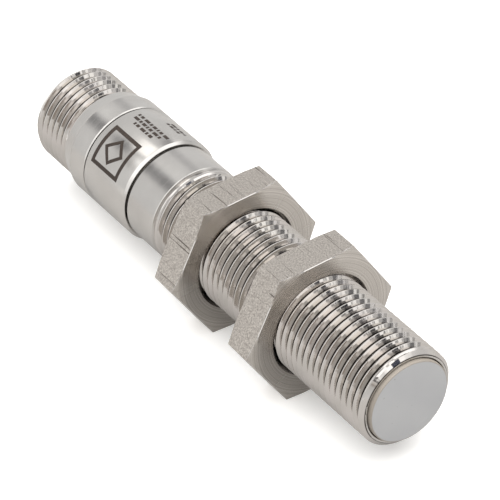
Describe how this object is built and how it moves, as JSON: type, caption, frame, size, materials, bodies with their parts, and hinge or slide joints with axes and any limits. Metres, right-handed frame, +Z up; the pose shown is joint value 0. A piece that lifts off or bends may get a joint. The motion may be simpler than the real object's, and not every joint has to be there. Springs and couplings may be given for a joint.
{
  "type": "inductive proximity sensor",
  "caption": "Cylindrical stainless inductive proximity sensor with a threaded barrel, plastic sensing cap, hexagon lock nuts and a round male plug connector.",
  "frame": {"origin": "centre of the sensing face, on the sensor's axis", "axes": "+X points out of the sensing face along the sensor's axis, +Z is up when the sensor lies on the flats of its nuts, and +Y completes a right-handed frame. The sensor rests on a surface at z = -0.0085 m."},
  "size_m": [0.065, 0.0196, 0.017],
  "materials": {
    "stainless_steel": "turned, bright",
    "satin_steel": "turned, satin, laser marked",
    "milled_steel": "milled flats, turned faces",
    "grey_plastic": "moulded, matt light grey",
    "cream_plastic": "moulded, natural",
    "black_plastic": "moulded, black",
    "green_laminate": "solder mask",
    "copper": "enamelled copper wire",
    "brass": "rolled strip",
    "gold_plate": "gold plated brass",
    "ferrite": "pressed and sintered, dark grey",
    "seal_rubber": "moulded, black",
    "resin": "cast",
    "ceramic": "sintered",
    "clear_lens": "moulded, amber tint"
  },
  "bodies": {
    "sensor_body": {"threaded_barrel": "stainless_steel", "marking_sleeve": "satin_steel", "connector_shell": "stainless_steel", "sensing_cap": "grey_plastic", "cap_seal": "seal_rubber", "ferrite_core": "ferrite", "coil_bobbin": "cream_plastic", "coil_winding": "copper", "screening_ring": "brass", "coil_holder": "black_plastic", "coil_lead_1": "copper", "coil_lead_2": "copper", "circuit_board": "green_laminate", "sensor_chip": "black_plastic", "output_transistor": "black_plastic", "protection_diode": "black_plastic", "capacitor_1": "ceramic", "capacitor_2": "ceramic", "capacitor_3": "ceramic", "resistor_1": "black_plastic", "resistor_2": "black_plastic", "resistor_3": "black_plastic", "resistor_4": "black_plastic", "status_led": "clear_lens", "led_window": "clear_lens", "potting_resin": "resin", "sleeve_seal": "seal_rubber", "contact_carrier": "black_plastic", "contact_pin_1": "gold_plate", "contact_pin_2": "gold_plate", "contact_pin_3": "gold_plate", "contact_pin_4": "gold_plate", "carrier_seal": "seal_rubber", "contact_lead_1": "copper", "contact_lead_3": "copper", "contact_lead_4": "copper"},
    "front_nut_thread": {"front_nut_thread_core": "milled_steel"},
    "front_nut": {"front_nut": "milled_steel"},
    "rear_nut_thread": {"rear_nut_thread_core": "milled_steel"},
    "rear_nut": {"rear_nut": "milled_steel"}
  },
  "joints": [
    {"name": "front_nut_travel", "type": "slide", "parent": "sensor_body", "child": "front_nut_thread", "axis": [1, 0, 0], "range_m": [-0.005, 0.014]},
    {"name": "front_nut_turn", "type": "hinge", "parent": "front_nut_thread", "child": "front_nut", "pos_m": [-0.01595, 0, 0], "axis": [1, 0, 0], "range_deg": [-1800, 5040]},
    {"name": "rear_nut_travel", "type": "slide", "parent": "sensor_body", "child": "rear_nut_thread", "axis": [1, 0, 0], "range_m": [-0.005, 0.0045]},
    {"name": "rear_nut_turn", "type": "hinge", "parent": "rear_nut_thread", "child": "rear_nut", "pos_m": [-0.03025, 0, 0], "axis": [1, 0, 0], "range_deg": [-1800, 1620]}
  ],
  "couplings": [
    {"joint": "front_nut_travel", "follows": "front_nut_turn", "m_per_rad": 0.00015915},
    {"joint": "rear_nut_travel", "follows": "rear_nut_turn", "m_per_rad": 0.00015915}
  ]
}
